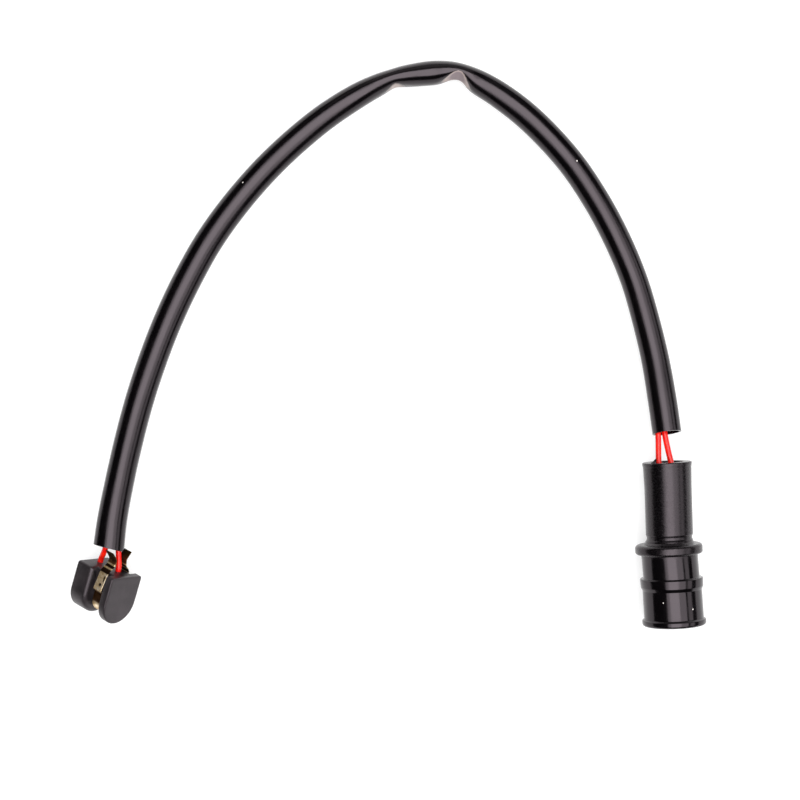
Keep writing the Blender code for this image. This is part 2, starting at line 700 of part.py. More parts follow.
def main():
    clear_scene()
    moulded = material("glass-filled nylon, black", (0.03, 0.027, 0.028), 0.55)
    rubber = material("rubber, black", (0.012, 0.011, 0.012), 0.35)
    vinyl = material("vinyl sleeve, black", (0.012, 0.011, 0.012), 0.3)
    hard = material("carrier nylon, black", (0.02, 0.02, 0.02), 0.5)
    red = material("wire insulation, red", (0.8, 0.01, 0.01), 0.35)
    spring = material("passivated spring steel", (0.42, 0.28, 0.14), 0.35, 1.0)
    brass = material("brass", (0.7, 0.48, 0.18), 0.3, 1.0)
    copper = material("tinned copper", (0.6, 0.55, 0.5), 0.35, 1.0)

    head = frame("head_frame", head_matrix())
    plug = frame("plug_frame", plug_matrix())

    make_sensor_body(head, moulded)
    make_spring_clip(head, spring)
    make_wear_loop(head, copper)
    make_plug_housing(plug, rubber)
    make_wire_grommet(plug, rubber)
    make_contact_carrier(plug, hard)
    for letter, side in (("a", 1), ("b", -1)):
        make_contact_pin("contact_pin_" + letter, side, plug, brass)
        make_conductor_end("conductor_end_" + letter, side, plug, copper)
    make_sleeve(vinyl)
    make_wire("wire_a", wire_route(WIRE_A_IN_HEAD, 4, 1, WIRE_A_AT_RIM), red)
    make_wire("wire_b", wire_route(WIRE_B_IN_HEAD, 5, -1, WIRE_B_AT_RIM), red)


main()
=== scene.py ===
# %% [markdown]
# # A brake pad wear sensor, lying on white
#
# The sensor clips over the edge of a brake pad's back plate. When the pad is nearly worn out,
# the disc rubs through the sensor's head and cuts the wire loop inside it. The head is a black
# moulding with a spring clip, two red wires run in a black plastic sleeve, and a round rubber
# plug ends the lead.
#
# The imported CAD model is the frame: sizes and places come from it, and this script gives each
# visible piece its finer shape and its finish. All lengths here are metres, as in Blender's
# own units, and MM turns millimetres into them.

# %% Load the frame
import math

import bmesh
import bpy
import numpy as np
from mathutils import Euler, Matrix


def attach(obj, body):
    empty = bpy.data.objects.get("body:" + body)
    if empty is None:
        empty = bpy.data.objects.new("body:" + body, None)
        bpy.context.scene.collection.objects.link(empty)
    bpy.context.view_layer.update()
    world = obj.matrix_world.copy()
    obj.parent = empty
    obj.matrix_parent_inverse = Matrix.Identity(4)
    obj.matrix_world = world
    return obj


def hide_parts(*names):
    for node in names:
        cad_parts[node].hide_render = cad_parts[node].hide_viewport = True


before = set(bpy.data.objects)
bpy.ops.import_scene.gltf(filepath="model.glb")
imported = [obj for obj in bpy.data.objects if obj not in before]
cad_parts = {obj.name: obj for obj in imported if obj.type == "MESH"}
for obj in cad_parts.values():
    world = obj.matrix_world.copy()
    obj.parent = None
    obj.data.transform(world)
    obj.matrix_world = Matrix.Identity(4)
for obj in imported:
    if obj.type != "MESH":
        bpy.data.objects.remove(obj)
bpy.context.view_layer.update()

MM = 0.001
print("CAD nodes:", ", ".join(sorted(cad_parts)))

# %% [markdown]
# ## The camera
#
# The photograph looks straight down. A perspective camera 480 mm above the floor gives the
# small lean that the plug's rings show. Its angle of view follows from the width that the
# image covers on the floor, by the tangent of half the angle.

# %% Place the camera
CAMERA_HEIGHT = 480 * MM
CAMERA_OVER = (2.9 * MM, 36.7 * MM)
VIEW_WIDTH = 208 * MM

lens = bpy.data.cameras.new("camera")
lens.angle = 2 * math.atan(VIEW_WIDTH / 2 / CAMERA_HEIGHT)
lens.clip_start = 0.01
camera = bpy.data.objects.new("camera", lens)
camera.location = (*CAMERA_OVER, CAMERA_HEIGHT)
bpy.context.scene.collection.objects.link(camera)
bpy.context.scene.camera = camera
bpy.context.scene.view_settings.view_transform = "Standard"
print("angle of view:", round(math.degrees(lens.angle), 2), "degrees")

# %% [markdown]
# ## Surfaces from grids
#
# Every new piece here is a grid of points: rows along the piece and columns round it. One
# function turns such a grid into a mesh. Numpy works out all the corner numbers of all the
# faces at once, and Blender takes them in one call. Rows or columns can close into a ring.
# Points that fall together, as at a pole, are merged, and the faces are turned to look out.

# %% A mesh from a grid of points
MERGE_DISTANCE = 0.002 * MM
CREASE = 35


def finished(name, shape, crease=CREASE):
    """An object of the bmesh, smooth but for the edges that turn by more than the crease."""
    mesh = bpy.data.meshes.new(name)
    shape.to_mesh(mesh)
    shape.free()
    mesh.shade_smooth()
    mesh.set_sharp_from_angle(angle=math.radians(crease))
    made = bpy.data.objects.new(name, mesh)
    bpy.context.scene.collection.objects.link(made)
    return made


def surface(name, points, close_rows=False, close_columns=True, crease=CREASE):
    """Face (i, j) joins the points (i, j), (i, j+1), (i+1, j+1) and (i+1, j) of the grid."""
    rows, columns, _ = points.shape
    i, j = np.meshgrid(
        np.arange(rows if close_rows else rows - 1),
        np.arange(columns if close_columns else columns - 1),
        indexing="ij",
    )
    below, beside = (i + 1) % rows, (j + 1) % columns
    corners = [i * columns + j, i * columns + beside, below * columns + beside, below * columns + j]
    faces = np.stack(corners, axis=-1).reshape(-1, 4)
    mesh = bpy.data.meshes.new("loose")
    mesh.from_pydata(points.reshape(-1, 3), [], faces.tolist())
    shape = bmesh.new()
    shape.from_mesh(mesh)
    bpy.data.meshes.remove(mesh)
    bmesh.ops.remove_doubles(shape, verts=shape.verts, dist=MERGE_DISTANCE)
    bmesh.ops.recalc_face_normals(shape, faces=shape.faces)
    return finished(name, shape, crease)


def joined(name, parts):
    """One object from several, each still a closed shell of its own."""
    shape = bmesh.new()
    for part in parts:
        shape.from_mesh(part.data)
        bpy.data.objects.remove(part)
    return finished(name, shape)


# %% [markdown]
# ## The lead's route
#
# The lead is the longest thing in the picture, so it comes first. Its route is a short table:
# each row is a point of the sleeve's centre line, the sleeve's half width there, and how far
# each wire lies to its right. A Catmull-Rom curve goes through every row. Between two rows it
# blends three straight lines in pairs, twice, with the distances between the rows as its
# clock, so it neither loops nor overshoots.

# %% The route table and the curve through it
LEAD_ROUTE = np.array([
    # x, y and z; half width; wire A's and wire B's place to the right: millimetres
    (-71.2, -0.9, 10.3, 3.95, -0.8, 2.5),
    (-70.4, 6.1, 9.9, 3.8, -0.2, 2.1),
    (-68.7, 16.2, 8.2, 3.7, 0.3, 2.0),
    (-66.7, 26.4, 6.0, 3.7, 0.3, 2.0),
    (-64.2, 36.7, 4.3, 3.7, 0.3, 2.0),
    (-60.9, 47.0, 3.75, 3.7, 0.3, 2.0),
    (-56.9, 57.3, 3.75, 3.7, 0.3, 2.0),
    (-52.0, 67.7, 3.75, 3.7, 0.2, 1.9),
    (-46.2, 78.0, 3.7, 3.65, 0.2, 1.9),
    (-38.7, 88.3, 3.65, 3.6, 0.1, 1.8),
    (-29.4, 98.6, 3.6, 3.55, 0.0, 1.7),
    (-17.7, 108.8, 3.55, 3.45, -0.4, 1.4),
    (-7.8, 115.3, 3.5, 3.2, -0.9, 0.9),
    (-2.2, 118.1, 3.5, 2.8, -0.9, 0.9),
    (0.9, 119.3, 3.5, 2.6, -0.9, 0.9),
    (4.3, 120.1, 3.5, 2.8, -0.9, 0.9),
    (11.3, 121.0, 3.5, 3.1, -0.9, 0.9),
    (16.4, 121.2, 3.5, 2.65, -0.9, 0.9),
    (19.3, 120.6, 3.5, 2.55, -0.9, 0.9),
    (22.6, 118.9, 3.5, 3.1, -0.9, 0.9),
    (28.8, 115.2, 3.5, 3.4, -0.6, 1.2),
    (36.6, 109.1, 3.55, 3.5, -0.2, 1.6),
    (46.4, 98.7, 3.55, 3.5, 0.0, 1.8),
    (53.5, 88.3, 3.55, 3.5, 0.1, 1.9),
    (59.0, 78.0, 3.55, 3.5, 0.1, 1.9),
    (63.3, 67.7, 3.55, 3.5, 0.1, 1.9),
    (66.3, 57.3, 3.95, 3.55, 0.2, 1.9),
    (68.6, 47.0, 5.0, 3.6, 0.2, 1.9),
    (70.1, 36.7, 6.9, 3.7, 0.4, 2.1),
    (71.1, 28.3, 8.4, 3.7, 0.6, 2.3),
]) * MM


def smooth_line(rows, step):
    """Points a step apart on a centripetal Catmull-Rom curve through the rows."""
    rows = np.asarray(rows, dtype=float)
    rows = np.vstack([2 * rows[0] - rows[1], rows, 2 * rows[-1] - rows[-2]])
    gaps = np.linalg.norm(np.diff(rows[:, :3], axis=0), axis=1) ** 0.5
    knots = np.concatenate([[0], np.cumsum(gaps)])[:, None, None]
    t0, t1, t2, t3 = (knots[k : len(rows) - 3 + k] for k in range(4))
    p0, p1, p2, p3 = (rows[k : len(rows) - 3 + k, None] for k in range(4))
    t = t1 + (t2 - t1) * np.linspace(0, 1, 17)[None, :-1, None]
    a1 = (t1 - t) / (t1 - t0) * p0 + (t - t0) / (t1 - t0) * p1
    a2 = (t2 - t) / (t2 - t1) * p1 + (t - t1) / (t2 - t1) * p2
    a3 = (t3 - t) / (t3 - t2) * p2 + (t - t2) / (t3 - t2) * p3
    b1 = (t2 - t) / (t2 - t0) * a1 + (t - t0) / (t2 - t0) * a2
    b2 = (t3 - t) / (t3 - t1) * a2 + (t - t1) / (t3 - t1) * a3
    curve = (t2 - t) / (t2 - t1) * b1 + (t - t1) / (t2 - t1) * b2
    curve = np.vstack([curve.reshape(-1, rows.shape[1]), rows[-2:-1]])
    along = distances(curve)
    at = np.linspace(0, along[-1], int(round(along[-1] / step)) + 1)
    return np.stack([np.interp(at, along, column) for column in curve.T], axis=1)


def distances(line):
    """How far along the line each of its points lies."""
    steps = np.linalg.norm(np.diff(line[:, :3], axis=0), axis=1)
    return np.concatenate([[0], np.cumsum(steps)])


def directions(line):
    """At each point of a line: ahead, to the right as seen from above, and up across it."""
    ahead = np.gradient(line[:, :3], axis=0)
    ahead /= np.linalg.norm(ahead, axis=1)[:, None]
    right = np.cross(ahead, (0.0, 0.0, 1.0))
    right /= np.linalg.norm(right, axis=1)[:, None]
    return ahead, right, np.cross(right, ahead)


straight = distances(LEAD_ROUTE)[-1]
print("the route has", len(LEAD_ROUTE), "rows and", round(straight / MM, 1), "mm in straight steps")

# %% [markdown]
# ## The head's and the plug's own frames
#
# The head lies tilted on its wear block, and the plug lies on its stop flange and its lip.
# Each is easiest to shape upright in a frame of its own, and one matrix then puts its points
# in place, so that the finished object itself stays at the origin. The head rests on a
# rounded corner, so a sharp outline of it would reach HEAD_SINKS below the floor.

# %% The two frames
HEAD_AT = (-69.73 * MM, -6.68 * MM)
HEAD_ANGLES = (-69.9, 56.1, -0.4)
HEAD_WIDTH = 11.1 * MM
HEAD_HEIGHT = 12.8 * MM
BLOCK_THICKNESS = 5.3 * MM
GROOVE_WIDTH = 5.0 * MM
FLANGE_THICKNESS = 2.2 * MM
CORE_WIDTH = 6.8 * MM
HEAD_CORNER = 0.7 * MM
HEAD_SINKS = 0.12 * MM
PLUG_AT = (73.1 * MM, -20.75 * MM)
PLUG_TURN = 2.9
PLUG_LENGTH = 41.75 * MM
STOP_RADIUS = 8.56 * MM
STOP_HEIGHT = 18.3 * MM
LIP_RADIUS = 8.15 * MM


def placed(points, matrix):
    """The points in world coordinates: turned by the matrix, then moved."""
    matrix = np.array(matrix)
    return points @ matrix[:3, :3].T + matrix[:3, 3]


def head_outline(width, steps=40):
    """A D standing up: a flat top with small rounded corners, over a half circle."""
    half = width / 2
    corner = min(HEAD_CORNER, half / 4)
    middle = HEAD_WIDTH / 2 - HEAD_HEIGHT
    quarter = np.linspace(0, math.pi / 2, 8)
    x = -half + corner - corner * np.cos(quarter)
    z = -corner + corner * np.sin(quarter)
    left = np.stack([x, z], 1)
    right = left[::-1] * (-1, 1)
    turn = np.linspace(0, math.pi, steps)
    below = np.stack([half * np.cos(turn), middle - half * np.sin(turn)], 1)
    return np.vstack([left, right, below])


head_turn = Euler([math.radians(a) for a in HEAD_ANGLES]).to_matrix()
edge_of_head = head_outline(HEAD_WIDTH)
corners_of_head = np.array([
    (x, y, z)
    for y in (-GROOVE_WIDTH / 2 - FLANGE_THICKNESS, GROOVE_WIDTH / 2 + BLOCK_THICKNESS)
    for x, z in edge_of_head
])
lowest = (corners_of_head @ np.array(head_turn).T)[:, 2].min()
HEAD_FRAME = Matrix.Translation((*HEAD_AT, -lowest - HEAD_SINKS)) @ head_turn.to_4x4()

plug_lean = math.atan2(STOP_RADIUS - LIP_RADIUS, STOP_HEIGHT)
plug_turn = Euler((plug_lean - math.radians(90), 0, math.radians(PLUG_TURN)))
plug_at = (*PLUG_AT, LIP_RADIUS * math.cos(plug_lean))
PLUG_FRAME = Matrix.Translation(plug_at) @ plug_turn.to_matrix().to_4x4()
print("top of the head:", [round(v / MM, 2) for v in HEAD_FRAME.to_translation()], "mm")

# %% [markdown]
# ## The red wires
#
# Two insulated wires, 1.5 mm thick, come out of the head, run loose inside the sleeve and go
# into the plug. A wire could be a curve with a bevel, but a tube worked out from the same
# line is as simple: at each point of the line, a circle stands across it. The circle's points
# are the line's point plus the radius times cosine to the right and sine up.

# %% The two wires
WIRE_DIAMETER = 1.5 * MM
WIRE_STEP = 0.9 * MM
WIRE_A_IN_HEAD = (0.3 * MM, 5.6 * MM)
WIRE_B_IN_HEAD = (0.7 * MM, -0.5 * MM)
CONTACT_PITCH = 3.6 * MM


def tube(name, line, radius, sides=20):
    """A closed tube: circles across the line, and one point at the middle of each end."""
    _, right, up = directions(line)
    angle = np.linspace(0, 2 * math.pi, sides, endpoint=False)[None, :, None]
    ring = radius * (np.cos(angle) * right[:, None] + np.sin(angle) * up[:, None])
    points = line[:, None, :3] + ring
    first = np.repeat(line[:1, None, :3], sides, axis=1)
    last = np.repeat(line[-1:, None, :3], sides, axis=1)
    return surface(name, np.concatenate([first, points, last]))


def wire_line(in_head, column, plug_side, at_rim):
    """Out of the head, beside the sleeve's centre line, and into the plug."""
    # Up the head's bore and out of it; then, down from the plug's rim: grommet, bore and crimp
    depths = np.array([-6.0, -4.0, -2.0, 0.0, 0.8]) * MM
    start = placed(np.array([(*in_head, z) for z in depths]), HEAD_FRAME)
    _, right, _ = directions(LEAD_ROUTE)
    level = right * (1, 1, 0)
    middle = LEAD_ROUTE[:, :3] + level * LEAD_ROUTE[:, column, None]
    x = plug_side * CONTACT_PITCH / 2
    heights = PLUG_LENGTH - np.array([0.0, 3.3, 5.3, 11.75, 16.55]) * MM
    sideways = np.array([x + at_rim, x, x, x, x])
    end = placed(np.stack([sideways, 0 * heights, heights], 1), PLUG_FRAME)
    return smooth_line(np.vstack([start, middle, end]), WIRE_STEP)


wires = {}
for name, in_head, column, side, at_rim in (
    ("wire_a", WIRE_A_IN_HEAD, 4, 1, -0.8 * MM),
    ("wire_b", WIRE_B_IN_HEAD, 5, -1, -0.3 * MM),
):
    line = wire_line(in_head, column, side, at_rim)
    wires[name] = tube("insulated_" + name, line, WIRE_DIAMETER / 2)
    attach(wires[name], "root")
    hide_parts(name)

# %% [markdown]
# ## The sleeve
#
# The sleeve is a soft plastic tube. Where it is bent most, its inner side has buckled in two
# places, as a drinking straw does. A buckled tube keeps its circumference, so where it gets
# narrower it gets taller: the squares of its half width, from the route's table, and of its
# half height add up to twice the square of the round tube's radius.
#
# The sleeve lies on the floor wherever its route is no higher than its own half height.

# %% The sleeve's line, its half width and its half height
ROUND_RADIUS = np.array([
    # place along the sleeve and radius where it is round: millimetres
    (0.0, 3.7), (30.0, 3.65), (110.0, 3.55), (250.0, 3.5), (280.0, 3.65),
]) * MM
LEAST_HALF_HEIGHT = 2.6 * MM
MOST_HALF_HEIGHT = 4.1 * MM
SLEEVE_STEP = 0.8 * MM

sleeve_line = smooth_line(LEAD_ROUTE[:, :4], SLEEVE_STEP)
half_width = sleeve_line[:, 3]
along = distances(sleeve_line)
round_radius = np.interp(along, ROUND_RADIUS[:, 0], ROUND_RADIUS[:, 1])
squared = 2 * round_radius**2 - half_width**2
half_height = np.sqrt(np.clip(squared, LEAST_HALF_HEIGHT**2, MOST_HALF_HEIGHT**2))
sleeve_line[:, 2] = np.maximum(sleeve_line[:, 2], half_height)
print("the sleeve is", round(along[-1] / MM, 1), "mm long")
for row in np.linspace(0, len(along) - 1, 7).astype(int):
    print("  at", round(along[row] / MM, 1), "mm:", [round(v / MM, 1) for v in sleeve_line[row]])

# %% [markdown]
# A buckle itself is a flat facet on the inner side. It goes in most along its top, where a
# crease parts it from the round wall, and least at its side. It is deepest in its middle and
# rounds off to nothing along the sleeve. The wall is the nearer of the two, ellipse or facet,
# and a small blend keeps the crease from being a knife edge. How far the wall moved is kept
# for the material, which paints a pale reflection of the floor onto the buckles.
#
# The wall is one closed surface: the outer skin forwards, then the inner skin backwards. At
# the head's end the sleeve was cut a little askew, so its first rows lean.

# %% The sleeve's surface
SLEEVE_WALL = 0.5 * MM
SLEEVE_SIDES = 64
KINKS = np.array([
    # place along the sleeve; reach at the top, side and bottom; half length: millimetres
    (148.0, 0.95, 0.3, 0.9, 4.2),
    (164.9, 2.35, 0.7, 1.6, 5.2),
]) * MM
CREASE_BLEND = 0.35 * MM
CUT_ASKEW = 0.14
ASKEW_REACH = 5 * MM


def sleeve_skin(inset):
    """Ellipses across the line, flattened at each kink, and how far each point moved."""
    ahead, right, up = directions(sleeve_line)
    angle = np.linspace(0, 2 * math.pi, SLEEVE_SIDES, endpoint=False)[None, :]
    wide, tall = half_width[:, None] - inset, half_height[:, None] - inset
    level = np.sin(angle)
    across = wide * np.cos(angle)
    untouched = across
    for at, top, side, bottom, reach in KINKS:
        # From 1 in the middle down to 0: a hyperbola, so a cone with a rounded tip
        depth = np.clip(1.16 - np.hypot((along - at) / reach, 0.16), 0, 1)[:, None]
        lean = side + np.where(level > 0, top - side, bottom - side) * np.abs(level)
        facet = wide - depth * lean
        gap = across - facet
        across = (across + facet - np.hypot(gap, CREASE_BLEND * depth)) / 2
    skew = -CUT_ASKEW * np.exp(-along / ASKEW_REACH)[:, None] * across
    points = (
        sleeve_line[:, None, :3]
        + across[..., None] * right[:, None]
        + (tall * level)[..., None] * up[:, None]
        + skew[..., None] * ahead[:, None]
    )
    return points, untouched - across


outer, moved = sleeve_skin(0.0)
inner, _ = sleeve_skin(SLEEVE_WALL)
sleeve = surface("plastic_sleeve", np.concatenate([outer, inner[::-1]]), close_rows=True)
buckled = np.concatenate([moved, 0 * moved]).ravel()
sleeve.data.attributes.new("buckled", "FLOAT", "POINT").data.foreach_set("value", buckled / MM)
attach(sleeve, "root")
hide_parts("protective_sleeve")
print("the wall moved by up to", round(moved.max() / MM, 2), "mm at the buckles")

# %% [markdown]
# ## Rounded corners for profiles
#
# The plug, its contacts and the spring clip all start as a polygon of few corners, each with
# a fillet radius. A fillet touches both sides of its corner at the same distance, which is
# the radius divided by the tangent of half the angle between them. The arc between the two
# touching points comes from blending them by sines, for all corners at once.

# %% Fillets for all corners of a polygon
def rounded(corners, closed, steps=6):
    """The outline through (x, y, radius) corners, with an arc at every corner."""
    corners = np.array(corners, dtype=float)
    here = corners[:, :2]
    to_last = np.roll(here, 1, axis=0) - here
    to_next = np.roll(here, -1, axis=0) - here
    short = 0.49 * np.minimum(np.linalg.norm(to_last, axis=1), np.linalg.norm(to_next, axis=1))
    to_last /= np.linalg.norm(to_last, axis=1)[:, None]
    to_next /= np.linalg.norm(to_next, axis=1)[:, None]
    half = np.arccos(np.clip((to_last * to_next).sum(1), -0.99999, 0.99999)) / 2
    reach = np.minimum(corners[:, 2] / np.tan(half), short)[:, None]
    if not closed:
        reach[[0, -1]] = 0
    bisector = (to_last + to_next) / np.linalg.norm(to_last + to_next, axis=1)[:, None]
    middle = here + bisector * reach * np.tan(half)[:, None] / np.sin(half)[:, None]
    start = (here + to_last * reach - middle)[:, None]
    end = (here + to_next * reach - middle)[:, None]
    sweep = (math.pi - 2 * half)[:, None, None]
    share = np.linspace(0, 1, steps + 1)[None, :, None]
    arc = (np.sin((1 - share) * sweep) * start + np.sin(share * sweep) * end) / np.sin(sweep)
    return (middle[:, None] + arc).reshape(-1, 2)


def turned(name, profile, frame_matrix, sides=96, closed=True, at=(0.0, 0.0), shift=None):
    """The (radius, height) profile carried round a vertical axis, then put in its frame."""
    angle = np.linspace(0, 2 * math.pi, sides, endpoint=False)[None, :]
    radius, height = profile[:, 0, None], profile[:, 1, None]
    x = at[0] + radius * np.cos(angle)
    if shift is not None:
        x = x + shift(height)
    y = at[1] + radius * np.sin(angle)
    points = np.stack([x, y, np.broadcast_to(height, x.shape)], axis=-1)
    return surface(name, placed(points, frame_matrix), close_rows=closed)


# %% [markdown]
# ## The plug
#
# The plug is moulded in rubber, so every edge is soft. Its outside is a turned profile: a
# rear tube, a neck, the stop flange that meets the socket, a sealing band, and a lip at the
# mouth. A lathe surface fits it best. The real plug is slightly bent and its flange sits a
# little off the axis, so two small smooth humps over the height shift the rings sideways.

# %% The plug's body
PLUG_PROFILE = [
    # radius, height over the mouth, fillet: millimetres
    (4.1, 41.75, 0.35), (6.32, 41.75, 0.3), (6.27, 41.05, 0.5), (6.14, 40.45, 0.8),
    (5.99, 34.75, 9.0), (5.99, 23.3, 0.4), (5.75, 22.75, 0.2), (5.75, 22.15, 0.2),
    (5.99, 21.75, 0.15), (6.14, 21.35, 0.1), (6.34, 21.15, 0.15), (6.59, 20.85, 0.2),
    (8.56, 20.85, 0.95), (8.56, 18.3, 0.75), (7.17, 18.3, 0.25), (7.17, 12.2, 0.25),
    (8.05, 12.2, 0.35), (7.95, 10.0, 0.5), (7.55, 9.1, 0.3), (7.6, 1.8, 0.4),
    (8.15, 1.5, 0.4), (8.15, 0.0, 0.8), (6.3, 0.0, 0.2), (5.9, 0.7, 0.2),
    (5.9, 16.0, 0.2), (4.6, 16.0, 0.1), (4.6, 30.0, 0.1), (4.1, 30.0, 0.1),
]


def bowed(height):
    """Two bell curves: 0.3 mm sideways round the middle, and as much again at the flange."""
    bow = np.exp(-(((height - 17 * MM) / (13 * MM)) ** 2))
    flange = np.exp(-(((height - 19.5 * MM) / (2.0 * MM)) ** 2))
    return -0.3 * MM * (bow + flange)


profile = rounded(np.array(PLUG_PROFILE) * MM, closed=True)
plug = turned("rubber_plug", profile, PLUG_FRAME, sides=144, shift=bowed)
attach(plug, "root")
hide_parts("plug_housing")
print("the plug has", len(plug.data.polygons), "faces")

# %% [markdown]
# A thin flap of flash stands on the rim behind one wire, where rubber crept between the
# halves of the mould. It is a bent triangle with a little thickness, so a small grid with
# two skins makes it.

# %% The flap of flash on the rim
FLAP_ROOT = 0.4 * MM
FLAP_FOOT = (-4.2 * MM, -4.2 * MM, PLUG_LENGTH - FLAP_ROOT)
FLAP_HEIGHT = 1.5 * MM
FLAP_HALF_WIDTH = 0.95 * MM
FLAP_HALF_THICKNESS = 0.09 * MM
FLAP_LEAN = 0.9 * MM
FLAP_BEND = 0.5 * MM
FLAP_WAVE = 0.15 * MM


def flap():
    """Rows from the rim up to the tip; each row narrows and leans out with its height."""
    up = np.linspace(0, 1, 9)[:, None]
    across = np.linspace(-1, 1, 9)[None, :]
    width = FLAP_HALF_WIDTH * (1 - 0.85 * up)
    x = FLAP_FOOT[0] + across * width + FLAP_LEAN * up
    z = FLAP_FOOT[2] + FLAP_HEIGHT * up + 0 * across
    skins = []
    for thickness in (FLAP_HALF_THICKNESS, -FLAP_HALF_THICKNESS):
        bend = FLAP_BEND * up**2 + FLAP_WAVE * np.sin(3 * across)
        y = FLAP_FOOT[1] + bend + thickness * (1.1 - up)
        skins.append(np.stack([x, y, z], axis=-1))
    front, back = skins
    ring = np.concatenate([front, back[:, ::-1]], axis=1)
    tip = np.repeat(ring[-1:].mean(axis=1, keepdims=True), ring.shape[1], axis=1)
    foot = np.repeat(ring[:1].mean(axis=1, keepdims=True), ring.shape[1], axis=1)
    return placed(np.concatenate([foot, ring, tip]), PLUG_FRAME)


flash = surface("rim_flash", flap(), crease=60)
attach(flash, "root")
print("the flap stands", round((FLAP_HEIGHT - FLAP_ROOT) / MM, 2), "mm over the rim")

# %% [markdown]
# ## The contacts
#
# The two contact pins are turned from brass. The CAD pins have twelve flat sides, which show
# as facets in the mouth, so the same profile is carried round in forty steps.

# %% The contact pins
PIN_PROFILE = [
    # radius, height, fillet: millimetres
    (0.0, 20.5, 0), (0.55, 20.5, 0), (0.55, 24.8, 0), (0.95, 25.1, 0), (0.95, 28.0, 0.05),
    (1.15, 28.0, 0.05), (1.15, 25.2, 0.05), (0.95, 24.8, 0.05), (0.95, 20.0, 0.05),
    (0.8, 19.5, 0.05), (0.8, 15.5, 0.05), (1.15, 15.5, 0.1), (1.15, 14.3, 0.1),
    (0.8, 14.3, 0.05), (0.8, 6.0, 0.75), (0.0, 6.0, 0),
]
profile = rounded(np.array(PIN_PROFILE) * MM, closed=False)
pins = []
for letter, side in (("a", 1), ("b", -1)):
    at = (side * CONTACT_PITCH / 2, 0.0)
    pin = turned("brass_pin_" + letter, profile, PLUG_FRAME, sides=40, closed=False, at=at)
    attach(pin, "root")
    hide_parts("contact_pin_" + letter)
    pins.append(pin)
    print(pin.name, "has", len(pin.data.polygons), "faces")

# %% [markdown]
# ## Pieces that keep their CAD shape
#
# The carrier, the grommet, the wear loop and the stripped conductor ends lie mostly hidden,
# and their CAD shapes are right. Their imported triangles are loose, though, and shade flat.
# A copy with its doubles merged can be shaded smooth, and stands for the node.

# %% Smooth copies of the small CAD nodes
def smoothed(node):
    """A copy of the node's mesh, its corners merged, smooth but for its real edges."""
    shape = bmesh.new()
    shape.from_mesh(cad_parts[node].data)
    bmesh.ops.remove_doubles(shape, verts=shape.verts, dist=MERGE_DISTANCE)
    made = finished("smooth_" + node, shape, crease=32)
    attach(made, "root")
    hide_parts(node)
    return made


carrier = smoothed("contact_carrier")
grommet = smoothed("wire_grommet")
loop = smoothed("wear_loop")
conductors = [smoothed("conductor_end_" + letter) for letter in "ab"]
for piece in (carrier, grommet, loop, *conductors):
    print(piece.name, "has", len(piece.data.polygons), "faces")

# %% [markdown]
# ## The head
#
# The head is one moulding of glass-filled nylon: a thick wear block, a thin flange and a
# narrower core between them. Each of the three is the same D carried through a thickness.
# The D's points move inwards along their own normals near each face, by a quarter circle,
# and that rounds the edge. The last rows shrink to the middle and close the face. The edge
# of the wear block beside the groove is much softer than the others, so it has its own size.

# %% The head's three parts
EDGE_RADIUS = 0.35 * MM
SOFT_EDGE = 1.1 * MM


def slab(name, width, low, high, low_edge, high_edge):
    """A D of this width from low to high along y, its edges rounded by quarter circles."""
    outline = head_outline(width)
    tangent = np.roll(outline, -1, axis=0) - np.roll(outline, 1, axis=0)
    tangent /= np.linalg.norm(tangent, axis=1)[:, None]
    outward = np.stack([-tangent[:, 1], tangent[:, 0]], axis=1)
    centre = np.array([0.0, HEAD_WIDTH / 2 - HEAD_HEIGHT])
    turn = np.linspace(0, math.pi / 2, 6)
    inset, rise = 1 - np.sin(turn), 1 - np.cos(turn)
    insets = np.concatenate([low_edge * inset, high_edge * inset[::-1]])[:, None, None]
    heights = np.concatenate([low + low_edge * rise, high - high_edge * rise[::-1]])
    rings = outline[None] - insets * outward[None]
    shrink = np.array([0.0, 0.5, 0.9])[:, None, None]
    first = centre + (rings[0] - centre) * shrink
    last = centre + (rings[-1] - centre) * shrink[::-1]
    rings = np.concatenate([first, rings, last])
    heights = np.concatenate([[low] * 3, heights, [high] * 3])
    y = np.broadcast_to(heights[:, None], rings.shape[:2])
    points = np.stack([rings[..., 0], y, rings[..., 1]], axis=-1)
    return surface(name, placed(points, HEAD_FRAME))


groove = GROOVE_WIDTH / 2
block = slab("block", HEAD_WIDTH, groove, groove + BLOCK_THICKNESS, SOFT_EDGE, EDGE_RADIUS)
flange = slab("flange", HEAD_WIDTH, -groove - FLANGE_THICKNESS, -groove, EDGE_RADIUS, EDGE_RADIUS)
# The core reaches 1 mm into both, so its own edges are hidden
core = slab("core", CORE_WIDTH, -groove - MM, groove + MM, 0.05 * MM, 0.05 * MM)
head = joined("moulded_head", [block, flange, core])
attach(head, "root")
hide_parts("sensor_body")
print("the head has", len(head.data.polygons), "faces")

# %% [markdown]
# ## The spring clip
#
# The clip is a strip of spring steel, 0.3 mm thick, folded round the core, with two leaves
# that spread above it. The strip's side view is a polygon with small fillets, so the folds
# stay crisp. A thin rectangle with bevelled corners is carried along it.

# %% The clip's strip
CLIP_THICKNESS = 0.3 * MM
CLIP_WIDTH = 2.7 * MM
CLIP_SHIFT = -0.15 * MM
CLIP_GAP = 0.3 * MM
CLIP_CREASE = 22


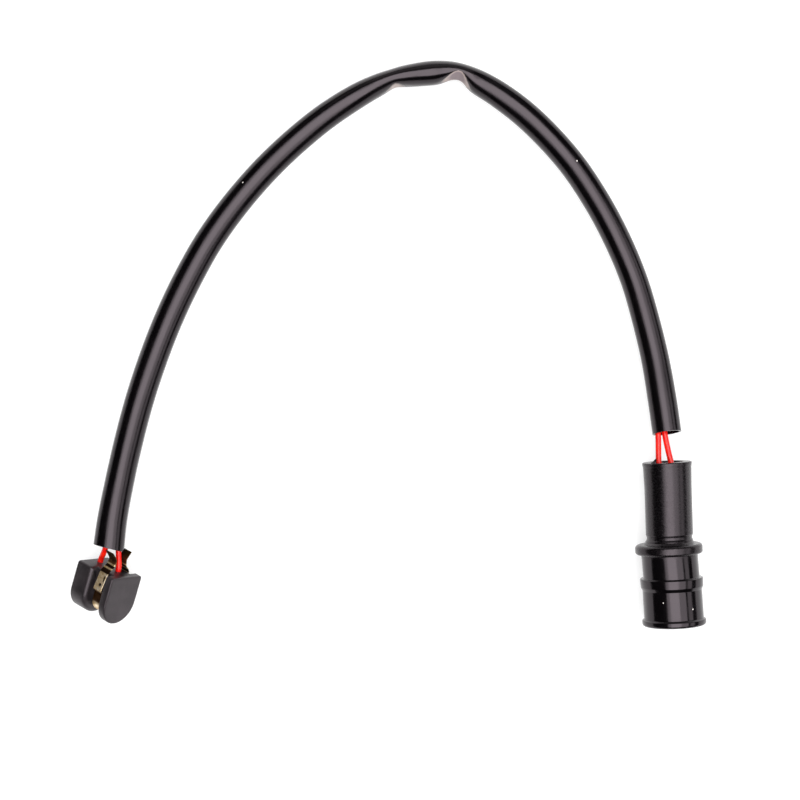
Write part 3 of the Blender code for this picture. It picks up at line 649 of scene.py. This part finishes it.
def clip_line():
    """The strip's middle line in x and z, from the left leaf's tip round to the right's."""
    side = CORE_WIDTH / 2 + CLIP_GAP + CLIP_THICKNESS / 2
    middle = HEAD_WIDTH / 2 - HEAD_HEIGHT
    # x, z, fillet: millimetres
    left_leaf = [(-4.0, 5.4, 0.0), (-1.7, 3.2, 1.3), (-2.3, 1.5, 0.35), (-3.1, 0.85, 0.15)]
    right_leaf = [(2.7, 5.5, 0.0), (1.6, 3.4, 1.3), (2.2, 1.5, 0.35), (3.1, 0.85, 0.15)]
    left_leg = [(-3.85, -0.05, 0.15), (-4.7, -4.75, 0.2), (-3.85, -5.65, 0.2)]
    right_leg = [(-x, z, fillet) for x, z, fillet in reversed(left_leg)]
    turn = np.linspace(0, math.pi, 26)
    bend = np.stack([-side * np.cos(turn), middle - side * np.sin(turn), 0 * turn], 1)
    left = np.array(left_leaf + left_leg) * MM
    right = np.array(right_leg + right_leaf[::-1]) * MM
    return rounded(np.vstack([left, bend, right]), closed=False, steps=4)


def strip(line, width, thickness):
    """A bevelled rectangle across the line: its corner points are offset along the normal."""
    apart = np.linalg.norm(np.diff(line, axis=0), axis=1) > 0.01 * MM
    line = line[np.concatenate([[True], apart])]
    tangent = np.gradient(line, axis=0)
    tangent /= np.linalg.norm(tangent, axis=1)[:, None]
    normal = np.stack([-tangent[:, 1], tangent[:, 0]], axis=1)
    side, face, bevel = width / 2, thickness / 2, 0.07 * MM
    half = np.array([
        (-side, -face + bevel), (-side + bevel, -face), (0, -face),
        (side - bevel, -face), (side, -face + bevel),
    ])
    section = np.vstack([half, -half])
    xz = line[:, None] + section[None, :, 1, None] * normal[:, None]
    y = np.broadcast_to(CLIP_SHIFT + section[None, :, 0], xz.shape[:2])
    points = np.stack([xz[..., 0], y, xz[..., 1]], axis=-1)
    first = np.repeat(points[:1].mean(axis=1, keepdims=True), len(section), axis=1)
    last = np.repeat(points[-1:].mean(axis=1, keepdims=True), len(section), axis=1)
    return np.concatenate([first, points, last])


strip_points = placed(strip(clip_line(), CLIP_WIDTH, CLIP_THICKNESS), HEAD_FRAME)
clip = surface("folded_clip", strip_points, crease=CLIP_CREASE)
print("the strip has", len(clip.data.polygons), "faces")

# %% [markdown]
# The left leg has a round hole and, above it, a slot. Two tools are made for them, a turned
# rod and a box, both 3 mm long and lying across the leg, and a Boolean modifier cuts each
# out of the strip. The cut leaves its own corners, so the shading's creases are found again.

# %% The hole and the slot
LEG_X = -3.7 * MM
HOLE = (-0.4 * MM, -3.4 * MM)
HOLE_RADIUS = 0.45 * MM
SLOT = (-0.95 * MM, -1.7 * MM)
SLOT_HALF = (0.75 * MM, 0.25 * MM)
TOOL_HALF_LENGTH = 1.5 * MM


def across_leg(place):
    """A frame at this y and z of the head, its own z along the head's x."""
    return HEAD_FRAME @ Matrix.Translation((LEG_X, *place)) @ Matrix.Rotation(math.pi / 2, 4, "Y")


def bored(target, tools):
    """The target with the tools cut out of it by Boolean modifiers, which are then applied."""
    for tool in tools:
        step = target.modifiers.new("cut", "BOOLEAN")
        step.object = tool
        step.solver = "EXACT"
    bpy.context.view_layer.update()
    seen = target.evaluated_get(bpy.context.evaluated_depsgraph_get())
    mesh = bpy.data.meshes.new_from_object(seen)
    target.modifiers.clear()
    target.data = mesh
    for tool in tools:
        bpy.data.objects.remove(tool)
    mesh.shade_smooth()
    mesh.set_sharp_from_angle(angle=math.radians(CLIP_CREASE))
    return target


rod = np.array([(0, 1, 0), (1, 1, 0), (1, -1, 0), (0, -1, 0)]) * (HOLE_RADIUS, TOOL_HALF_LENGTH, 1)
rod = rounded(rod, closed=False, steps=1)
hole = turned("hole", rod, across_leg(HOLE), sides=24, closed=False)
corners = np.array([(-1, -1), (1, -1), (1, 1), (-1, 1)]) * SLOT_HALF
shares = np.array([0.0, 1.0, 1.0, 0.0])[:, None, None]
heights = np.array([-1.0, -1.0, 1.0, 1.0])[:, None, None] * TOOL_HALF_LENGTH
box = np.concatenate([corners[None] * shares, np.broadcast_to(heights, (4, 4, 1))], axis=-1)
slot_tool = surface("slot", placed(box, across_leg(SLOT)))
clip = bored(clip, [hole, slot_tool])
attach(clip, "root")
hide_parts("spring_clip")
print("the clip has", len(clip.data.polygons), "faces once cut")

# %% [markdown]
# ## Colours and nodes
#
# Colours are written as the hex values that a picture editor shows. Blender computes with
# linear light, so one function turns them over. Another adds a shader node with its settings,
# the stops of its colour ramp if it has one, and its links. A pattern's scale is one divided
# by its real size.

# %% Colour and node helpers
def linear(code):
    """An sRGB hex colour as linear red, green, blue and alpha."""
    channels = np.array([int(code[k : k + 2], 16) for k in (1, 3, 5)]) / 255
    low = channels / 12.92
    high = ((channels + 0.055) / 1.055) ** 2.4
    return (*np.where(channels <= 0.04045, low, high).tolist(), 1.0)


print("#808080 is", round(linear("#808080")[0], 3), "of full light")


def add(tree, kind, settings=(), links=(), stops=()):
    """A node: settings name its fields or inputs, links its inputs' sources, stops its ramp."""
    node = tree.nodes.new(kind)
    for number, (position, code) in enumerate(stops):
        points = node.color_ramp.elements
        point = points[number] if number < 2 else points.new(position)
        point.position = position
        point.color = linear(code)
    for key, value in dict(settings).items():
        if isinstance(key, str) and hasattr(node, key):
            setattr(node, key, value)
        else:
            node.inputs[key].default_value = value
    for key, source in dict(links).items():
        tree.links.new(source, node.inputs[key])
    return node


# The highlights in the photograph have a trace of plum, so all but the metals reflect it
PLUM = (1.0, 0.86, 0.94, 1.0)


def new_material(name, colour, roughness, ior=1.5, metallic=0.0):
    """A Principled material, and its tree, its shader and its Object coordinates."""
    made = bpy.data.materials.new(name)
    made.use_nodes = True
    tree = made.node_tree
    shader = tree.nodes["Principled BSDF"]
    shader.inputs["Base Color"].default_value = linear(colour)
    shader.inputs["Roughness"].default_value = roughness
    shader.inputs["IOR"].default_value = ior
    shader.inputs["Metallic"].default_value = metallic
    if metallic == 0:
        shader.inputs["Specular Tint"].default_value = PLUM
    place = add(tree, "ShaderNodeTexCoord").outputs["Object"]
    return made, tree, shader, place


def height_in(tree, place, frame_matrix):
    """How high each point is in a piece's own upright frame."""
    upright = frame_matrix.inverted()
    turn = {"Rotation": upright.to_euler(), "Location": upright.to_translation()}
    own = add(tree, "ShaderNodeMapping", turn, {"Vector": place}).outputs["Vector"]
    return add(tree, "ShaderNodeSeparateXYZ", links={"Vector": own}).outputs["Z"]


SPECK_RADIUS = 0.18 * MM


def dust(tree, place, clean, specks):
    """The clean colour, with a pale speck round each of two points of the surface."""
    near = []
    for speck in specks:
        at = {"operation": "DISTANCE", 1: speck}
        far = add(tree, "ShaderNodeVectorMath", at, {0: place}).outputs["Value"]
        near.append(add(tree, "ShaderNodeMath", {"operation": "LESS_THAN", 1: SPECK_RADIUS}, {0: far}))
    either = add(
        tree,
        "ShaderNodeMath",
        {"operation": "MAXIMUM"},
        {0: near[0].outputs["Value"], 1: near[1].outputs["Value"]},
    )
    dusty = add(
        tree,
        "ShaderNodeMix",
        {"data_type": "RGBA", 6: clean, 7: linear("#d8d2cc")},
        {0: either.outputs["Value"]},
    )
    return dusty


def dress(made, *pieces):
    """Give each piece this one material."""
    for piece in pieces:
        piece.data.materials.clear()
        piece.data.materials.append(made)
    names = ", ".join(piece.name for piece in pieces)
    print(made.name, "with", len(made.node_tree.nodes), "nodes, on", names)


# %% [markdown]
# ## Flexible PVC for the sleeve
#
# The sleeve is extruded flexible PVC, nearly black, with the soft gloss of vinyl. Its skin
# has a faint fine grain, a very shallow bump, and handling has left slightly duller patches.
# Where the wall buckled, a reflection of the white floor is painted into the colour, pale,
# and the facets are duller: the distance that each point moved picks the painted reflection,
# palest at a buckle's rim and greyer inside it. Two small specks of dust lie on top.

# %% The sleeve's material
VINYL_BLACK = "#040304"
SPECKS_NEAR = np.array([(-37.6, 92.3, 6.8), (48.2, 98.0, 7.0)]) * MM

vinyl, tree, shader, place = new_material("flexible PVC, extruded", VINYL_BLACK, 0.2, ior=1.45)
patches = add(tree, "ShaderNodeTexNoise", {"Scale": 1 / (6 * MM), "Detail": 4.0}, {"Vector": place})
grain = add(tree, "ShaderNodeTexNoise", {"Scale": 1 / (0.6 * MM), "Detail": 3.0}, {"Vector": place})
buckle_depth = add(tree, "ShaderNodeAttribute", {"attribute_name": "buckled"})
uneven = add(
    tree,
    "ShaderNodeMath",
    {"operation": "MULTIPLY_ADD", 1: 0.4},
    {0: patches.outputs["Fac"], 2: buckle_depth.outputs["Fac"]},
)
# Painted reflection: the buckles are coloured pale, as if they mirrored the floor
painted_buckle_reflection = add(
    tree,
    "ShaderNodeValToRGB",
    links={"Fac": uneven.outputs["Value"]},
    stops=[(0.34, VINYL_BLACK), (0.62, "#b8a8a2"), (1.0, "#84777a")],
)
skin_points = outer.reshape(-1, 3)
nearest = [np.linalg.norm(skin_points - point, axis=1).argmin() for point in SPECKS_NEAR]
dusty = dust(tree, place, linear(VINYL_BLACK), skin_points[nearest])
tree.links.new(painted_buckle_reflection.outputs["Color"], dusty.inputs[6])
tree.links.new(dusty.outputs[2], shader.inputs["Base Color"])
rough = add(
    tree,
    "ShaderNodeMapRange",
    {"From Min": 0.12, "From Max": 0.9, "To Min": 0.17, "To Max": 0.5},
    {"Value": uneven.outputs["Value"]},
)
tree.links.new(rough.outputs["Result"], shader.inputs["Roughness"])
bump = add(
    tree,
    "ShaderNodeBump",
    {"Strength": 0.35, "Distance": 0.03 * MM},
    {"Height": grain.outputs["Fac"]},
)
tree.links.new(bump.outputs["Normal"], shader.inputs["Normal"])
dress(vinyl, sleeve)

# %% [markdown]
# ## Nitrile rubber for the plug
#
# Moulded nitrile rubber takes the finish of its mould. The front part comes from a polished
# mould and shines, while the rear tube and the stop flange are dull and lightly speckled.
# The height over the plug's mouth picks one of the two, with a sharp border just in front of
# the flange. Two small specks of pale dust lie on the front.

# %% The rubber's material
RUBBER_BLACK = "#050405"
RUBBER_SPECKS = np.array([(69.23, -14.44, 14.97), (76.75, -16.05, 14.7)]) * MM
SHINY_UP_TO = 17.4 * MM
DULL_FROM = 18.0 * MM

rubber, tree, shader, place = new_material("nitrile rubber, moulded", RUBBER_BLACK, 0.3, ior=1.45)
dull = add(
    tree,
    "ShaderNodeMapRange",
    {"From Min": SHINY_UP_TO, "From Max": DULL_FROM},
    {"Value": height_in(tree, place, PLUG_FRAME)},
)
grit = {"Scale": 1 / (0.5 * MM), "Detail": 5.0, "Roughness": 0.65}
speckle = add(tree, "ShaderNodeTexNoise", grit, {"Vector": place})
cloud = add(tree, "ShaderNodeTexNoise", {"Scale": 1 / (4 * MM), "Detail": 3.0}, {"Vector": place})
shine = add(
    tree,
    "ShaderNodeMapRange",
    {"From Min": 0.3, "From Max": 0.7, "To Min": 0.1, "To Max": 0.2},
    {"Value": cloud.outputs["Fac"]},
)
matt = add(
    tree,
    "ShaderNodeMapRange",
    {"From Min": 0.35, "From Max": 0.65, "To Min": 0.19, "To Max": 0.34},
    {"Value": speckle.outputs["Fac"]},
)
rough = add(
    tree,
    "ShaderNodeMix",
    {"data_type": "FLOAT"},
    {0: dull.outputs["Result"], 2: shine.outputs["Result"], 3: matt.outputs["Result"]},
)
tree.links.new(rough.outputs[0], shader.inputs["Roughness"])
depth = add(
    tree,
    "ShaderNodeMath",
    {"operation": "MULTIPLY"},
    {0: speckle.outputs["Fac"], 1: dull.outputs["Result"]},
)
bump = add(
    tree,
    "ShaderNodeBump",
    {"Strength": 0.4, "Distance": 0.04 * MM},
    {"Height": depth.outputs["Value"]},
)
tree.links.new(bump.outputs["Normal"], shader.inputs["Normal"])
dusty = dust(tree, place, linear(RUBBER_BLACK), RUBBER_SPECKS)
tree.links.new(dusty.outputs[2], shader.inputs["Base Color"])
dress(rubber, plug, flash, grommet)

# %% [markdown]
# ## Glass-filled nylon for the head
#
# Nylon with glass fibres moulds dull and grey-black, because the fibres roughen its skin.
# They are about a hundredth of a millimetre thick, too fine to show here, so the grain is
# drawn 0.3 mm wide, with softer blotches from the flow in the mould.

# %% The head's material
nylon, tree, shader, place = new_material("glass-filled nylon, moulded", "#181517", 0.4, ior=1.53)
blotches = add(tree, "ShaderNodeTexNoise", {"Scale": 1 / (3.5 * MM), "Detail": 4.0}, {"Vector": place})
glass = {"Scale": 1 / (0.3 * MM), "Detail": 4.0, "Roughness": 0.7}
fibres = add(tree, "ShaderNodeTexNoise", glass, {"Vector": place})
flow = add(
    tree,
    "ShaderNodeValToRGB",
    links={"Fac": blotches.outputs["Fac"]},
    stops=[(0.3, "#0f0d0e"), (0.7, "#231f21")],
)
tree.links.new(flow.outputs["Color"], shader.inputs["Base Color"])
bump = add(
    tree,
    "ShaderNodeBump",
    {"Strength": 0.7, "Distance": 0.05 * MM},
    {"Height": fibres.outputs["Fac"]},
)
tree.links.new(bump.outputs["Normal"], shader.inputs["Normal"])
dress(nylon, head)

carrier_nylon, tree, shader, place = new_material("carrier nylon, moulded", "#232122", 0.5, ior=1.53)
fine = add(tree, "ShaderNodeTexNoise", {"Scale": 1 / (0.4 * MM), "Detail": 3.0}, {"Vector": place})
bump = add(
    tree,
    "ShaderNodeBump",
    {"Strength": 0.4, "Distance": 0.03 * MM},
    {"Height": fine.outputs["Fac"]},
)
tree.links.new(bump.outputs["Normal"], shader.inputs["Normal"])
dress(carrier_nylon, carrier)

# %% [markdown]
# ## Red insulation
#
# The wires' insulation is red PVC, bright and smooth. A slow change between two close reds
# keeps it from looking painted.

# %% The insulation's material
red, tree, shader, place = new_material("red PVC insulation", "#e01a08", 0.25, ior=1.45)
slow = add(tree, "ShaderNodeTexNoise", {"Scale": 1 / (2 * MM), "Detail": 2.0}, {"Vector": place})
reds = add(
    tree,
    "ShaderNodeValToRGB",
    links={"Fac": slow.outputs["Fac"]},
    stops=[(0.35, "#d80c05"), (0.65, "#ec220c")],
)
tree.links.new(reds.outputs["Color"], shader.inputs["Base Color"])
dress(red, *wires.values())

# %% [markdown]
# ## The clip's steel
#
# The clip is spring steel with a bronze passivation, and light and shade are painted onto it
# in zones: painted glints on the bend under the core, the flat by the hole and two folds, and
# painted shade on the leg deep in the groove and beside the folds. These zones follow the height
# in the head's own frame, and a noise of stains is multiplied over them. A metal's colour is
# the colour of its reflections, so the painted glints are nearly white.

# %% The clip's material
ZONES_FROM = -10.0 * MM
ZONES_TO = 6.0 * MM

bronze, tree, shader, place = new_material("passivated spring steel", "#a08a6c", 0.32, metallic=1.0)
stains = {"Scale": 1 / (1.6 * MM), "Detail": 4.0, "Roughness": 0.6}
stain = add(tree, "ShaderNodeTexNoise", stains, {"Vector": place})
zone = add(
    tree,
    "ShaderNodeMapRange",
    {"From Min": ZONES_FROM, "From Max": ZONES_TO},
    {"Value": height_in(tree, place, HEAD_FRAME)},
)
# From the bend under the core up to the leaf's tip: a painted glint, painted shade in the
# groove, a painted glint by the hole, then painted shade with painted glints on two folds, and
# olive brown at the tip
passivated_with_painted_light = add(
    tree,
    "ShaderNodeValToRGB",
    links={"Fac": zone.outputs["Result"]},
    stops=[
        (0.05, "#f4e4c8"),
        (0.12, "#4a3018"),
        (0.29, "#4a3018"),
        (0.33, "#fff2dc"),
        (0.605, "#fff2dc"),
        (0.62, "#22140a"),
        (0.675, "#2e1c0d"),
        (0.685, "#e0cfa8"),
        (0.695, "#e0cfa8"),
        (0.705, "#22140a"),
        (0.735, "#2e1c0d"),
        (0.745, "#e8d8b4"),
        (0.757, "#e8d8b4"),
        (0.77, "#72563f"),
        (0.86, "#5e4631"),
        (0.9, "#42331c"),
    ],
)
stained = add(
    tree,
    "ShaderNodeValToRGB",
    links={"Fac": stain.outputs["Fac"]},
    stops=[(0.3, "#8c7a60"), (0.5, "#dccdb4"), (0.7, "#ffffff")],
)
both = add(
    tree,
    "ShaderNodeMix",
    {"data_type": "RGBA", "blend_type": "MULTIPLY", 0: 1.0},
    {6: passivated_with_painted_light.outputs["Color"], 7: stained.outputs["Color"]},
)
tree.links.new(both.outputs[2], shader.inputs["Base Color"])
rough = add(
    tree,
    "ShaderNodeMapRange",
    {"From Min": 0.3, "From Max": 0.7, "To Min": 0.6, "To Max": 0.4},
    {"Value": stain.outputs["Fac"]},
)
tree.links.new(rough.outputs["Result"], shader.inputs["Roughness"])
dress(bronze, clip)

# %% [markdown]
# ## Brass and tinned copper
#
# The pins are bright turned brass. The lathe leaves fine marks, which vary the gloss, and
# they are drawn coarser than they are, so that they show. The bare conductors are tinned
# copper, whose strands, 0.2 mm thick, show as a fine bump.

# %% The contacts' and the conductors' materials
brass, tree, shader, place = new_material("turned brass", "#d9b56a", 0.25, metallic=1.0)
lathe = add(tree, "ShaderNodeTexNoise", {"Scale": 1 / (0.3 * MM), "Detail": 2.0}, {"Vector": place})
rough = add(
    tree,
    "ShaderNodeMapRange",
    {"From Min": 0.3, "From Max": 0.7, "To Min": 0.2, "To Max": 0.36},
    {"Value": lathe.outputs["Fac"]},
)
tree.links.new(rough.outputs["Result"], shader.inputs["Roughness"])
dress(brass, *pins)

tinned, tree, shader, place = new_material("tinned copper", "#c9c0b4", 0.3, metallic=1.0)
strands = add(tree, "ShaderNodeTexNoise", {"Scale": 1 / (0.2 * MM), "Detail": 2.0}, {"Vector": place})
bump = add(
    tree,
    "ShaderNodeBump",
    {"Strength": 0.4, "Distance": 0.03 * MM},
    {"Height": strands.outputs["Fac"]},
)
tree.links.new(bump.outputs["Normal"], shader.inputs["Normal"])
dress(tinned, loop, *conductors)

# %% [markdown]
# ## The floor
#
# The floor is white paper. For the camera, and in reflections, it glows a little besides the
# light that falls on it, so that it comes out white and still shows a faint shadow. Black
# rubber and plastic mirror it along both edges of every tube. It is 14 m wide, so that a view
# from only 15 degrees above it doesn't reach its end.

# %% The paper floor
FLOOR_HALF_WIDTH = 7.0
FLOOR_GLOW = 0.64

paper = bpy.data.materials.new("white paper")
paper.use_nodes = True
tree = paper.node_tree
tree.nodes.clear()
ray = add(tree, "ShaderNodeLightPath")
looked_at = add(
    tree,
    "ShaderNodeMath",
    {"operation": "MAXIMUM"},
    {0: ray.outputs["Is Camera Ray"], 1: ray.outputs["Is Glossy Ray"]},
)
seen = add(
    tree,
    "ShaderNodeMath",
    {"operation": "MAXIMUM"},
    {0: looked_at.outputs["Value"], 1: ray.outputs["Is Transmission Ray"]},
)
lit = add(tree, "ShaderNodeBsdfDiffuse", {"Color": linear("#adadad")})
glow = add(tree, "ShaderNodeEmission", {"Color": linear("#ffffff"), "Strength": FLOOR_GLOW})
white = add(tree, "ShaderNodeAddShader", links={0: lit.outputs["BSDF"], 1: glow.outputs["Emission"]})
chosen = add(
    tree,
    "ShaderNodeMixShader",
    links={0: seen.outputs["Value"], 1: lit.outputs["BSDF"], 2: white.outputs["Shader"]},
)
add(tree, "ShaderNodeOutputMaterial", links={"Surface": chosen.outputs["Shader"]})

edges = np.array([-FLOOR_HALF_WIDTH, FLOOR_HALF_WIDTH])
floor_points = np.stack([*np.meshgrid(edges, edges), np.zeros((2, 2))], axis=-1)
floor = surface("floor", floor_points, close_columns=False)
dress(paper, floor)

# %% [markdown]
# ## The lamps
#
# One wide softbox hangs overhead, more to the right than to the left: in the photograph its
# reflection runs along the middle of every tube, from two fifths to nearly three quarters of
# the width. A smaller diffuser just under it makes the middle of that reflection brighter. A
# card on the right adds the thin second stripe beside it, and a card behind the object lights
# what faces away from the viewer. The angles say how far to the left and the right of
# straight up the softbox reaches, as seen from the object.

# %% Lamps and surroundings
SOFTBOX_HEIGHT = 1.2
SOFTBOX_LEFT, SOFTBOX_RIGHT = -27, 46
SOFTBOX_NEAR, SOFTBOX_FAR = -1.1, 0.75
ROOM_LIGHT = 0.015

left_edge = SOFTBOX_HEIGHT * math.tan(math.radians(SOFTBOX_LEFT))
right_edge = SOFTBOX_HEIGHT * math.tan(math.radians(SOFTBOX_RIGHT))
middle_x = (left_edge + right_edge) / 2
middle_y = CAMERA_OVER[1] + (SOFTBOX_NEAR + SOFTBOX_FAR) / 2
reach = SOFTBOX_FAR - SOFTBOX_NEAR
LAMPS = (
    # name; width and length; place; turns about x and y, in degrees; radiance
    ("softbox", (right_edge - left_edge, reach), (middle_x, middle_y, SOFTBOX_HEIGHT), (0, 0), 2.8),
    ("inner diffuser", (0.72, reach), (0.06, middle_y, 1.1), (0, 0), 2.5),
    ("side card", (0.5, 1.6), (1.4, 0.0, 0.75), (0, 62), 1.7),
    ("back card", (1.6, 0.9), (0.0, 1.5, 0.6), (-68, 0), 0.5),
)
for name, size, at, turns, radiance in LAMPS:
    # A flat lamp's power is its radiance times pi times its area
    lamp = bpy.data.lights.new(name, "AREA")
    lamp.shape = "RECTANGLE"
    lamp.size, lamp.size_y = size
    lamp.energy = radiance * math.pi * size[0] * size[1]
    hung = bpy.data.objects.new(name, lamp)
    hung.location = at
    hung.rotation_euler = (*np.radians(turns), 0)
    hung.visible_camera = False
    bpy.context.scene.collection.objects.link(hung)
    print(name, "gives", round(lamp.energy, 1), "W")

world = bpy.data.worlds.new("studio")
bpy.context.scene.world = world
world.use_nodes = True
world.node_tree.nodes["Background"].inputs["Color"].default_value = linear("#ffffff")
world.node_tree.nodes["Background"].inputs["Strength"].default_value = ROOM_LIGHT
